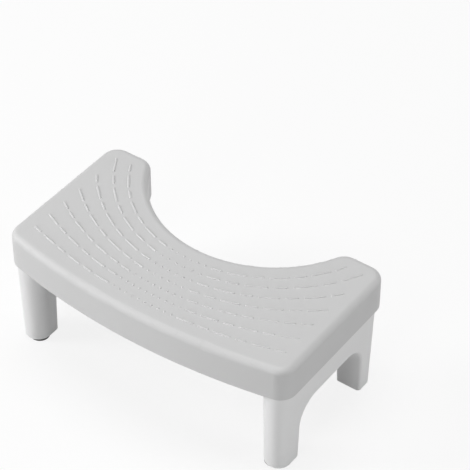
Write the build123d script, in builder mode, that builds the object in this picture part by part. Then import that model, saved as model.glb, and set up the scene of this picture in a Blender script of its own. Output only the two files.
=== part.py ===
"""Toilet footstool: a kidney-shaped tread top carried by two push-in leg frames on rubber feet.

Millimetres. X runs along the length, Y from the front bow to the rear notch, Z up.
The origin is on the floor under the middle of the tread top.
"""
import os
from math import acos, asin, cos, degrees, pi, radians, sin, sqrt, tan

from build123d import *

# Tread top, plan
length = 420.0
depth = 237.4
front_bow = 24.6
end_corner_radius = 22.2
notch_radius = 159.0
notch_depth = 98.9
notch_corner_radius = 22.2
horn_round_share = 0.45

# Tread top, section
height = 174.8
skirt_depth = 47.8
rim_radius = 8.7
top_wall = 2.3

# Tread pattern: rows of raised dashes with a field of dots in the middle
row_count = 7
first_row_inset = 23.7
last_row_inset = 23.6
first_row_radius = 622.0
last_row_radius = 185.0
tread_border = 22.5
raised_width = 2.6
raised_height = 1.1
raised_edge_radius = 1.0
raised_land = 0.1
short_dash = 13.9
long_dash = 23.2
dash_gap = 6.0
dot_gap = 7.8
dot_pitch = 9.7
# Dashes of each row from its end to the middle, S short and L long, then its dots on each side
row_patterns = [
    ("SLSLSL", 5),
    ("LSLSLS", 5),
    ("SSLSLSS", 4),
    ("LSLSLSS", 3),
    ("SLSLSLS", 3),
    ("LSLSLSS", 3),
    ("SLSLSLS", 3),
]

# Underside of the tread top
lattice_pitch = 33.0
lattice_wall = 2.0
lattice_depth = 16.0
socket_wall = 2.4
socket_wall_depth = 34.0
seat_rib_depth = 6.0
seat_rib_pitch = 32.0
seat_rib_count = 5
post_wall = 2.6
post_length = 46.0
post_clearance = 0.8

# Leg frames
frame_width = 41.0
frame_rear_inset = 18.8
frame_draft = 1.08
frame_wall = 2.6
frame_inner_front_radius = 20.8
frame_rear_radius = 2.0
frame_clearance = 0.3
front_leg_depth = 41.3
rear_leg_depth = 26.3
arch_height = 84.4
arch_radius = 31.2
arch_edge_radius = 4.5
leg_floor = 4.0
web_count = 3
web_wall = 2.0
web_height = 36.0

# Feet
front_foot_diameter = 25.5
front_foot_drop = 3.6
front_foot_recess = 1.0
front_foot_setback = 2.9
front_foot_shift = 3.5
rear_foot_diameter = 18.0
rear_foot_drop = 1.2
rear_foot_recess = 1.4
foot_clearance = 0.3
foot_edge_radius = 0.6
stem_diameter = 8.0
stem_clearance = 0.05
stem_head_diameter = 11.0
stem_head_height = 3.0

overrun = 5.0

# Levels and lines worked out from the sizes above
half_length = length / 2
front_edge = -depth / 2
rear_edge = depth / 2
front_corner = front_edge + front_bow
front_radius = (half_length**2 + front_bow**2) / (2 * front_bow)
front_centre = front_edge + front_radius
notch_front = rear_edge - notch_depth
notch_centre = notch_front + notch_radius
notch_half_width = sqrt(notch_radius**2 - (notch_centre - rear_edge) ** 2)
horn_width = half_length - notch_half_width
row_pitch = (depth - notch_depth - first_row_inset - last_row_inset) / (row_count - 1)
skirt_bottom = height - skirt_depth
tread_underside = height - top_wall
frame_top = tread_underside - seat_rib_depth
frame_outer = half_length - top_wall - frame_clearance
frame_inner = frame_outer - frame_width
frame_middle = (frame_outer + frame_inner) / 2
frame_rear = rear_edge - frame_rear_inset
nest_radius = front_radius - top_wall - frame_clearance
socket_face = frame_inner - frame_clearance
socket_outer_face = half_length - top_wall
frame_front = front_centre - sqrt(nest_radius**2 - frame_middle**2)
arch_front = frame_front + front_leg_depth
arch_rear = frame_rear - rear_leg_depth
frame_slope = tan(radians(frame_draft))


def draft_inset(level):
    """How far the drafted frame has drawn in at this level."""
    return (frame_top - level) * frame_slope


def tread_plan(inset=0):
    """Kidney plan of the tread top, drawn this far inside its outer edge.

    Its corners are as round as the two horns beside the notch have room for.
    """
    with BuildSketch() as plan:
        with BuildLine():
            ThreePointArc((-half_length, front_corner), (0, front_edge), (half_length, front_corner))
            Polyline(
                (half_length, front_corner),
                (half_length, rear_edge),
                (notch_half_width, rear_edge),
            )
            ThreePointArc((notch_half_width, rear_edge), (0, notch_front), (-notch_half_width, rear_edge))
            Polyline(
                (-notch_half_width, rear_edge),
                (-half_length, rear_edge),
                (-half_length, front_corner),
            )
        make_face()
        widest = horn_width * horn_round_share
        by_x = plan.vertices().group_by(Axis.X)
        fillet(by_x[0] + by_x[-1], min(end_corner_radius, widest))
        horns = plan.vertices().filter_by_position(Axis.X, -notch_half_width, notch_half_width)
        fillet(horns, min(notch_corner_radius, widest))
        if inset:
            offset(amount=-inset)
    return plan.sketch


def row_layout(row):
    """Arc radius and centre of one tread row, and the scale at which its dashes fill it."""
    share = row / (row_count - 1)
    radius = 1 / ((1 - share) / first_row_radius + share / last_row_radius)
    centre = front_edge + first_row_inset + row * row_pitch + radius
    end_angle = acos((centre - rear_edge + tread_border) / radius)
    side_limit = half_length - tread_border
    if radius > side_limit:
        end_angle = min(end_angle, asin(side_limit / radius))
    dashes, dots = row_patterns[row]
    plain_length = dots * dot_pitch - dot_pitch / 2 + dot_gap + (len(dashes) - 1) * dash_gap
    plain_length += dashes.count("S") * short_dash + dashes.count("L") * long_dash
    return radius, centre, radius * end_angle / plain_length


def tread_pattern():
    """Plan of every raised dash and dot, each along its own row's arc."""
    with BuildSketch() as pattern:
        for row in range(row_count):
            radius, centre, scale = row_layout(row)
            dashes, dots = row_patterns[row]
            for side in (-1, 1):
                place = dot_pitch * scale / 2
                for dot in range(dots):
                    angle = side * place / radius
                    with Locations((radius * sin(angle), centre - radius * cos(angle))):
                        Circle(raised_width / 2)
                    place += dot_pitch * scale
                place += (dot_gap - dot_pitch) * scale
                for kind in reversed(dashes):
                    dash = (short_dash if kind == "S" else long_dash) * scale
                    angle = side * (place + dash / 2) / radius
                    with Locations((radius * sin(angle), centre - radius * cos(angle))):
                        SlotOverall(dash, raised_width, rotation=degrees(angle))
                    place += dash + dash_gap * scale
    return pattern.sketch


def underside_lattice():
    """Plan of the stiffening ribs between the two sockets."""
    columns = int(socket_face // lattice_pitch)
    rows = int(rear_edge // lattice_pitch)
    with BuildSketch() as lattice:
        with GridLocations(lattice_pitch, 0, 2 * columns + 1, 1):
            Rectangle(lattice_wall, depth)
        with GridLocations(0, lattice_pitch, 1, 2 * rows + 1):
            Rectangle(2 * socket_face, lattice_wall)
        add(tread_plan(top_wall), mode=Mode.INTERSECT)
    return lattice.sketch


def socket_walls():
    """Plan of the wall that stands along the inner face of each leg frame."""
    with BuildSketch() as walls:
        with GridLocations(2 * socket_face - socket_wall, 0, 2, 1):
            Rectangle(socket_wall, depth)
        add(tread_plan(top_wall), mode=Mode.INTERSECT)
    return walls.sketch


def seat_ribs():
    """Plan of the short ribs that bear on the rims of the leg frames."""
    with BuildSketch() as ribs:
        with Locations((0, (arch_front + arch_rear) / 2)):
            with GridLocations(socket_face + socket_outer_face, seat_rib_pitch, 2, seat_rib_count):
                Rectangle(socket_outer_face - socket_face, lattice_wall)
    return ribs.sketch


def foot_places():
    """X and Y of the middle of the front foot and of the rear foot."""
    front = frame_front + draft_inset(front_foot_drop) + front_foot_setback + front_foot_diameter / 2
    rear = (arch_rear + arch_height * frame_slope + frame_rear - draft_inset(rear_foot_drop)) / 2
    return (frame_middle - front_foot_shift, front), (frame_middle, rear)


def make_tread_top():
    """One moulding: tread, skirt, stiffening lattice, sockets and locating posts."""
    with BuildPart() as hollow:
        with BuildSketch(Plane.XY.offset(skirt_bottom - overrun)):
            add(tread_plan(top_wall))
        extrude(amount=skirt_depth - top_wall + overrun)
        fillet(hollow.faces().sort_by(Axis.Z)[-1].edges(), rim_radius - top_wall)

    with BuildPart() as top:
        with BuildSketch(Plane.XY.offset(skirt_bottom)):
            add(tread_plan())
        extrude(amount=skirt_depth)
        fillet(top.faces().sort_by(Axis.Z)[-1].edges(), rim_radius)
        add(hollow.part, mode=Mode.SUBTRACT)
        with BuildSketch(Plane.XY.offset(height)):
            add(tread_pattern())
        extrude(amount=raised_height)
        round_top = min(raised_edge_radius, raised_height - raised_land, raised_width / 2 - raised_land)
        fillet(top.faces().group_by(Axis.Z)[-1].edges(), round_top)
        with BuildSketch(Plane.XY.offset(tread_underside)):
            add(underside_lattice())
        extrude(amount=-lattice_depth)
        with BuildSketch(Plane.XY.offset(tread_underside)):
            add(socket_walls())
        extrude(amount=-socket_wall_depth)
        with BuildSketch(Plane.XY.offset(tread_underside)):
            add(seat_ribs())
        extrude(amount=-seat_rib_depth)
        with BuildSketch(Plane.XY.offset(tread_underside)):
            add(locating_posts())
        extrude(amount=-post_length)
    return top.part


def frame_section(inset=0):
    """Section of the right leg frame at its rim, drawn this far inside its outer face.

    Its front and outer sides follow the inside of the skirt. The inner corner is as round as
    the front side has room for beside the outer corner.
    """
    with BuildSketch() as section:
        add(tread_plan(top_wall + frame_clearance))
        with Locations((frame_middle, frame_rear)):
            Rectangle(frame_width, depth, align=(Align.CENTER, Align.MAX), mode=Mode.INTERSECT)
        front_side = section.edges().sort_by(Axis.Y)[0]
        inner_corner = front_side.vertices().sort_by(Axis.X)[0]
        half_corner = (pi / 2 - asin(frame_inner / nest_radius)) / 2
        largest = (front_side.length - frame_clearance) * tan(half_corner)
        fillet(inner_corner, min(frame_inner_front_radius, largest))
        if inset:
            offset(amount=-inset)
    return section.sketch


def locating_posts():
    """Plan of the cross-shaped posts that drop into the hollow legs, clear of their walls."""
    gap = frame_wall + post_clearance
    wells = [(frame_front, arch_front - gap), (arch_rear + gap, frame_rear)]
    with BuildSketch() as posts:
        for well_front, well_rear in wells:
            with Locations((frame_middle, (well_front + well_rear) / 2)):
                Rectangle(frame_width, post_wall)
                Rectangle(post_wall, well_rear - well_front)
        add(frame_section(gap + draft_inset(tread_underside - post_length)), mode=Mode.INTERSECT)
        mirror(about=Plane.YZ)
    return posts.sketch


def arch_block(grow=0):
    """The space under the arch between the legs, wider at the floor, drawn this much larger."""
    top_level = arch_height + grow
    flare = (top_level + overrun) * frame_slope
    with BuildPart() as block:
        with BuildSketch(Plane.YZ) as side_view:
            with BuildLine():
                Polyline(
                    (arch_front - grow - flare, -overrun),
                    (arch_front - grow, top_level),
                    (arch_rear + grow, top_level),
                    (arch_rear + grow + flare, -overrun),
                    close=True,
                )
            make_face()
            fillet(side_view.vertices().group_by(Axis.Y)[-1], arch_radius + grow)
        extrude(amount=length)
    return block.part


def frame_hollow():
    """The space inside a leg frame: two leg wells joined by a trough with stiffening webs."""
    web_pitch = (arch_rear - arch_front) / (web_count + 1)
    web_foot = arch_height + frame_wall
    with BuildPart() as hollow:
        with BuildSketch(Plane.XY.offset(frame_top)):
            add(frame_section(frame_wall))
        extrude(amount=front_foot_drop + leg_floor - frame_top, taper=frame_draft)
        add(arch_block(frame_wall), mode=Mode.SUBTRACT)
        with Locations((frame_middle, (arch_front + arch_rear) / 2, web_foot)):
            with GridLocations(0, web_pitch, 1, web_count):
                Box(frame_width, web_wall, 2 * web_height, mode=Mode.SUBTRACT)
    return hollow.part


def is_arch_edge(edge):
    """Whether this edge of the frame borders the arch on its outer or inner face."""
    middle = edge.center()
    beside = abs(middle.X - frame_middle) > frame_width / 4
    along_arch = arch_front - overrun < middle.Y < arch_rear + overrun
    return beside and along_arch and overrun < middle.Z < frame_top - overrun


def make_right_frame():
    """Hollow arch-shaped frame with a front and a rear leg, open at its rim."""
    front_place, rear_place = foot_places()
    with BuildPart() as frame:
        with BuildSketch(Plane.XY.offset(frame_top)):
            add(frame_section())
        extrude(amount=rear_foot_drop - frame_top, taper=frame_draft)
        add(arch_block(), mode=Mode.SUBTRACT)
        with Locations((frame_middle, arch_front + overrun, front_foot_drop)):
            Box(2 * frame_width, depth, height, align=(Align.CENTER, Align.MAX, Align.MAX), mode=Mode.SUBTRACT)
        fillet(frame.edges().filter_by(is_arch_edge), arch_edge_radius)
        rear_face = frame.faces().sort_by(Axis.Y)[-1]
        fillet(rear_face.edges().filter_by(Axis.X, reverse=True), frame_rear_radius)
        add(frame_hollow(), mode=Mode.SUBTRACT)
        with Locations(Plane((*front_place, front_foot_drop), z_dir=(0, 0, -1))):
            CounterBoreHole(
                stem_diameter / 2 + stem_clearance,
                front_foot_diameter / 2 + foot_clearance,
                front_foot_recess,
                depth=leg_floor + overrun,
            )
        with Locations(Plane((*rear_place, rear_foot_drop), z_dir=(0, 0, -1))):
            CounterBoreHole(
                stem_diameter / 2 + stem_clearance,
                rear_foot_diameter / 2 + foot_clearance,
                rear_foot_recess,
                depth=front_foot_drop + leg_floor + overrun,
            )
    return frame.part


def make_foot(place, diameter, pad_height):
    """Round rubber pad whose stem goes up through the leg floor to a retaining head."""
    floor_top = front_foot_drop + leg_floor
    with BuildPart() as foot:
        with BuildSketch():
            with Locations(place):
                Circle(diameter / 2)
        extrude(amount=pad_height)
        fillet(foot.edges().group_by(Axis.Z)[0], foot_edge_radius)
        with BuildSketch(Plane.XY.offset(pad_height)):
            with Locations(place):
                Circle(stem_diameter / 2)
        extrude(amount=floor_top - pad_height)
        with BuildSketch(Plane.XY.offset(floor_top)):
            with Locations(place):
                Circle(stem_head_diameter / 2)
        extrude(amount=stem_head_height)
        chamfer(foot.edges().group_by(Axis.Z)[-1], stem_head_height / 2)
    return foot.part


def write_piece(piece, name):
    """Name a finished piece and write it out."""
    piece.label = name
    export_step(piece, f"parts/{name}.step")
    print(name, "volume", round(piece.volume), "valid", piece.is_valid)


def write_both_sides(piece, name):
    """Write a right-hand piece and its mirror image on the left."""
    write_piece(piece, f"right_{name}")
    with BuildPart() as left:
        add(piece)
        mirror(about=Plane.YZ, mode=Mode.REPLACE)
    write_piece(left.part, f"left_{name}")


os.makedirs("parts", exist_ok=True)
front_foot_place, rear_foot_place = foot_places()
write_piece(make_tread_top(), "tread_top")
write_both_sides(make_right_frame(), "leg_frame")
front_foot = make_foot(front_foot_place, front_foot_diameter, front_foot_drop + front_foot_recess)
write_both_sides(front_foot, "front_foot")
rear_foot = make_foot(rear_foot_place, rear_foot_diameter, rear_foot_drop + rear_foot_recess)
write_both_sides(rear_foot, "rear_foot")
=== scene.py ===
import bpy
from mathutils import Matrix, Vector

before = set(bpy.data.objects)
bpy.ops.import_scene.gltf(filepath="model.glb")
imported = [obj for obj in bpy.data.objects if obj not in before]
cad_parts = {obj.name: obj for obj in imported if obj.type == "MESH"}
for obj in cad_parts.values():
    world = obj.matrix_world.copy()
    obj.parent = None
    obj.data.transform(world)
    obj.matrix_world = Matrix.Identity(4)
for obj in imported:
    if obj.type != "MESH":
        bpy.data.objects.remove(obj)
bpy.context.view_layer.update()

# Footstool in satin pale grey polypropylene, on white legs with black rubber feet.
# Metres, in the frame of the CAD: X along the length, Y to the notch, Z up.

mm = 0.001
white = (1.0, 1.0, 1.0, 1.0)


def linearColour(code):
    # sRGB hex to the linear values that the shaders take
    parts = [int(code[i:i + 2], 16) / 255 for i in (1, 3, 5)]
    return tuple(p / 12.92 if p <= 0.04045 else ((p + 0.055) / 1.055) ** 2.4 for p in parts) + (1.0,)


def addNode(tree, kind, settings=None, values=None, links=None):
    # one node, its settings, its own socket values and the links that come into it
    node = tree.nodes.new(kind)
    for name, setting in (settings or {}).items():
        setattr(node, name, setting)
    for socket, value in (values or {}).items():
        node.inputs[socket].default_value = value
    for socket, source in (links or {}).items():
        tree.links.new(source, node.inputs[socket])
    return node


def newMaterial(name):
    material = bpy.data.materials.new(name)
    material.use_nodes = True
    material.node_tree.nodes.clear()
    return material, material.node_tree


print("materials")

# Polypropylene, injection moulded in a lightly eroded mould: a satin pale grey with soft broad
# highlights, a fine even grain and the faint cloudiness of a thick-walled moulding. Sizes in mm.
treadPlastic = {
    "colour": "#D8D8D8",
    "cloud": "#D5D5D5",
    "cloudSize": 70,
    "cloudDetail": 3.0,
    "cloudRange": (0.3, 0.7),   # nearly all of the noise lies between these
    "ior": 1.49,
    "roughness": 0.55,
    "roughnessSpread": 0.05,
    "grainSize": 0.6,           # eroded steel leaves grains of 0.1 mm, drawn coarser so that they show
    "grainDetail": 2.0,
    "grainDepth": 0.012,
    "grainStrength": 0.4,
}

# The same polypropylene with more white in it, from a smoother mould: brighter and a little glossier
legPlastic = {
    **treadPlastic,
    "colour": "#F2F2F2",
    "cloud": "#EFEFEF",
    "roughness": 0.36,
    "roughnessSpread": 0.03,
    "grainDepth": 0.006,
}


def mouldedPolypropylene(name, plastic):
    material, tree = newMaterial(name)
    place = addNode(tree, "ShaderNodeTexCoord").outputs["Object"]
    cloud = addNode(tree, "ShaderNodeTexNoise", links={"Vector": place},
                    values={"Scale": 1 / (plastic["cloudSize"] * mm), "Detail": plastic["cloudDetail"]})
    grain = addNode(tree, "ShaderNodeTexNoise", links={"Vector": place},
                    values={"Scale": 1 / (plastic["grainSize"] * mm), "Detail": plastic["grainDetail"]})
    colour = addNode(tree, "ShaderNodeMix", {"data_type": "RGBA"}, links={"Factor": cloud.outputs["Fac"]},
                     values={6: linearColour(plastic["colour"]), 7: linearColour(plastic["cloud"])})
    gloss = addNode(tree, "ShaderNodeMapRange", {"clamp": False}, links={"Value": cloud.outputs["Fac"]},
                    values={"From Min": plastic["cloudRange"][0], "From Max": plastic["cloudRange"][1],
                            "To Min": plastic["roughness"] - plastic["roughnessSpread"],
                            "To Max": plastic["roughness"] + plastic["roughnessSpread"]})
    bump = addNode(tree, "ShaderNodeBump", links={"Height": grain.outputs["Fac"]},
                   values={"Strength": plastic["grainStrength"], "Distance": plastic["grainDepth"] * mm})
    shader = addNode(tree, "ShaderNodeBsdfPrincipled", values={"IOR": plastic["ior"]},
                     links={"Base Color": colour.outputs[2], "Roughness": gloss.outputs["Result"],
                            "Normal": bump.outputs["Normal"]})
    addNode(tree, "ShaderNodeOutputMaterial", links={"Surface": shader.outputs["BSDF"]})
    return material


# Thermoplastic rubber, moulded: near black and matt, with a dusty speckle. Sizes in mm.
rubber = {
    "colour": "#262625",
    "dust": "#3B3A38",
    "ior": 1.52,
    "roughness": 0.68,
    "grainSize": 0.8,
    "grainDetail": 3.0,
    "grainDepth": 0.03,
    "grainStrength": 0.5,
}


def mouldedRubber():
    material, tree = newMaterial("Moulded_black_rubber")
    place = addNode(tree, "ShaderNodeTexCoord").outputs["Object"]
    grain = addNode(tree, "ShaderNodeTexNoise", links={"Vector": place},
                    values={"Scale": 1 / (rubber["grainSize"] * mm), "Detail": rubber["grainDetail"]})
    colour = addNode(tree, "ShaderNodeMix", {"data_type": "RGBA"}, links={"Factor": grain.outputs["Fac"]},
                     values={6: linearColour(rubber["colour"]), 7: linearColour(rubber["dust"])})
    bump = addNode(tree, "ShaderNodeBump", links={"Height": grain.outputs["Fac"]},
                   values={"Strength": rubber["grainStrength"], "Distance": rubber["grainDepth"] * mm})
    shader = addNode(tree, "ShaderNodeBsdfPrincipled",
                     values={"IOR": rubber["ior"], "Roughness": rubber["roughness"]},
                     links={"Base Color": colour.outputs[2], "Normal": bump.outputs["Normal"]})
    addNode(tree, "ShaderNodeOutputMaterial", links={"Surface": shader.outputs["BSDF"]})
    return material


finishes = {
    "tread_top": mouldedPolypropylene("Moulded_satin_polypropylene", treadPlastic),
    "leg_frame": mouldedPolypropylene("Moulded_white_polypropylene", legPlastic),
    "foot": mouldedRubber(),
}

print("finishes on the CAD nodes")
for name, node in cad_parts.items():
    finish = next(look for ending, look in finishes.items() if name.endswith(ending))
    if not node.material_slots:
        node.data.materials.append(finish)
    for slot in node.material_slots:
        slot.material = finish

print("camera")
camera = {
    "right": (0.81156531, 0.58426026, 0.00130191),
    "up": (-0.38948969, 0.53935609, 0.74658743),
    "back": (0.43549918, -0.60641154, 0.66528604),
    "place": (1.08823, -1.42055, 1.80397),
    "lens": 153.13,
    "sensorWidth": 36,
    "clipEnd": 50,
}
lensData = bpy.data.cameras.new("Camera")
lensData.sensor_width = camera["sensorWidth"]
lensData.lens = camera["lens"]
lensData.clip_end = camera["clipEnd"]
viewer = bpy.data.objects.new("Camera", lensData)
axes = Matrix((camera["right"], camera["up"], camera["back"])).transposed()
viewer.matrix_world = Matrix.Translation(camera["place"]) @ axes.to_4x4()
bpy.context.scene.collection.objects.link(viewer)
bpy.context.scene.camera = viewer

print("floor")
floorLook = {"colour": "#CCCCCC", "halfWidth": 8.0, "whiteShare": 0.84}


def seenBackdrop(tree):
    # 1 for the rays that show the backdrop, from the camera or by way of a glossy or clear surface
    path = addNode(tree, "ShaderNodeLightPath").outputs
    direct = addNode(tree, "ShaderNodeMath", {"operation": "MAXIMUM"},
                     links={0: path["Is Camera Ray"], 1: path["Is Glossy Ray"]})
    return addNode(tree, "ShaderNodeMath", {"operation": "MAXIMUM"},
                   links={0: direct.outputs[0], 1: path["Is Transmission Ray"]}).outputs[0]


def paleFloor():
    # pale matt floor; the camera and reflections see it mostly white, with the stool's shadow on it
    material, tree = newMaterial("Pale_studio_floor")
    seen = seenBackdrop(tree)
    share = addNode(tree, "ShaderNodeMath", {"operation": "MULTIPLY"}, links={0: seen},
                    values={1: floorLook["whiteShare"]})
    colour = addNode(tree, "ShaderNodeMix", {"data_type": "RGBA"}, links={"Factor": seen},
                     values={6: linearColour(floorLook["colour"]), 7: white})
    matt = addNode(tree, "ShaderNodeBsdfDiffuse", links={"Color": colour.outputs[2]})
    glow = addNode(tree, "ShaderNodeEmission", values={"Color": white, "Strength": 1.0})
    mix = addNode(tree, "ShaderNodeMixShader",
                  links={0: share.outputs[0], 1: matt.outputs["BSDF"], 2: glow.outputs["Emission"]})
    addNode(tree, "ShaderNodeOutputMaterial", links={"Surface": mix.outputs["Shader"]})
    return material


half = floorLook["halfWidth"]
floorMesh = bpy.data.meshes.new("Floor")
floorMesh.from_pydata([(-half, -half, 0), (half, -half, 0), (half, half, 0), (-half, half, 0)], [],
                      [(0, 1, 2, 3)])
floorMesh.materials.append(paleFloor())
floor = bpy.data.objects.new("Floor", floorMesh)
bpy.context.scene.collection.objects.link(floor)

print("light")
# soft boxes round the stool, all aimed at its middle: place, width in metres and power in watts
lamps = {
    "Key_box": {"place": (-2.9, -2.1, 2.5), "size": 1.4, "power": 65.0},
    "Left_box": {"place": (-3.8, -2.4, 1.5), "size": 2.0, "power": 33.0},
    "Front_box": {"place": (0.4, -4.6, 1.1), "size": 2.0, "power": 66.0},
    "Overhead_box": {"place": (-0.6, 0.6, 5.1), "size": 3.2, "power": 128.0},
    "Right_box": {"place": (3.9, 1.6, 1.35), "size": 2.0, "power": 60.0},
}
aim = Vector((0, 0, 0.1))
for name, look in lamps.items():
    data = bpy.data.lights.new(name, "AREA")
    data.shape = "DISK"
    data.size = look["size"]
    data.energy = look["power"]
    lamp = bpy.data.objects.new(name, data)
    lamp.location = look["place"]
    lamp.rotation_euler = (aim - Vector(look["place"])).to_track_quat("-Z", "Y").to_euler()
    bpy.context.scene.collection.objects.link(lamp)

# white where it is seen; it lights nothing by diffuse rays
world = bpy.data.worlds.new("Studio")
world.use_nodes = True
world.node_tree.nodes.clear()
sky = addNode(world.node_tree, "ShaderNodeBackground", values={"Color": white},
              links={"Strength": seenBackdrop(world.node_tree)})
addNode(world.node_tree, "ShaderNodeOutputWorld", links={"Surface": sky.outputs["Background"]})
bpy.context.scene.world = world
bpy.context.scene.view_settings.view_transform = "Standard"
